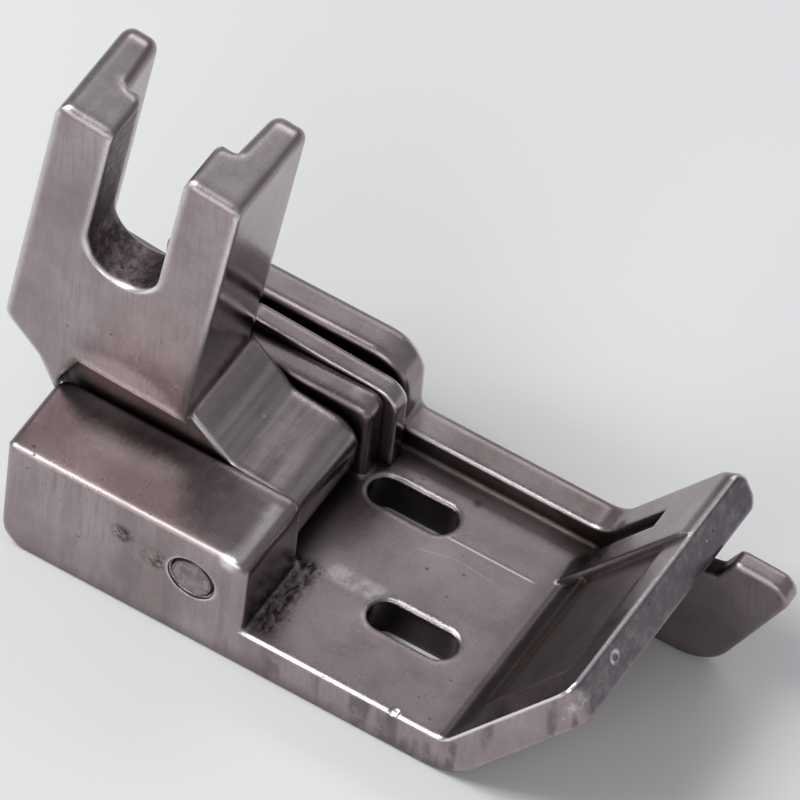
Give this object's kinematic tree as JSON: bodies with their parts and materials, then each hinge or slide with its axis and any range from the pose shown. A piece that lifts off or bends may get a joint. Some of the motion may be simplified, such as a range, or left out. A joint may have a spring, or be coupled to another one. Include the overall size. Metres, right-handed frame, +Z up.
{
  "type": "presser foot",
  "caption": "Hinged metal presser foot with an upturned toe, needle slots, a raised side rail and a thin guide blade, under a shank with an open screw slot",
  "frame": {"origin": "on the underside of the sole, straight below the hinge pin at mid width", "axes": "+X from heel to toe, +Y from the near cheek to the rail side, +Z up out of the sole"},
  "size_m": [0.0388, 0.016, 0.0272],
  "materials": {
    "sole_steel": "satin ground, polished on the rounded edges",
    "shank_steel": "satin ground, polished on the rounded edges",
    "pin_steel": "ground end",
    "blade_steel": "satin",
    "spring_steel": "drawn wire"
  },
  "bodies": {
    "sole": {"sole": "sole_steel", "hinge_pin": "pin_steel", "hinge_spring": "spring_steel", "blade_spring": "spring_steel"},
    "shank": {"shank": "shank_steel"},
    "blade": {"guide_blade": "blade_steel"}
  },
  "joints": [
    {"name": "shank_hinge", "type": "hinge", "parent": "sole", "child": "shank", "pos_m": [0, 0, 0.0046], "axis": [0, 1, 0], "range_deg": [-1, 4], "stiffness_Nm_per_rad": 0.05, "deforming": ["hinge_spring"]},
    {"name": "blade_hinge", "type": "hinge", "parent": "sole", "child": "blade", "pos_m": [0, 0, 0.0046], "axis": [0, 1, 0], "range_deg": [-1.2, 0], "stiffness_Nm_per_rad": 0.01, "deforming": ["blade_spring"]}
  ]
}
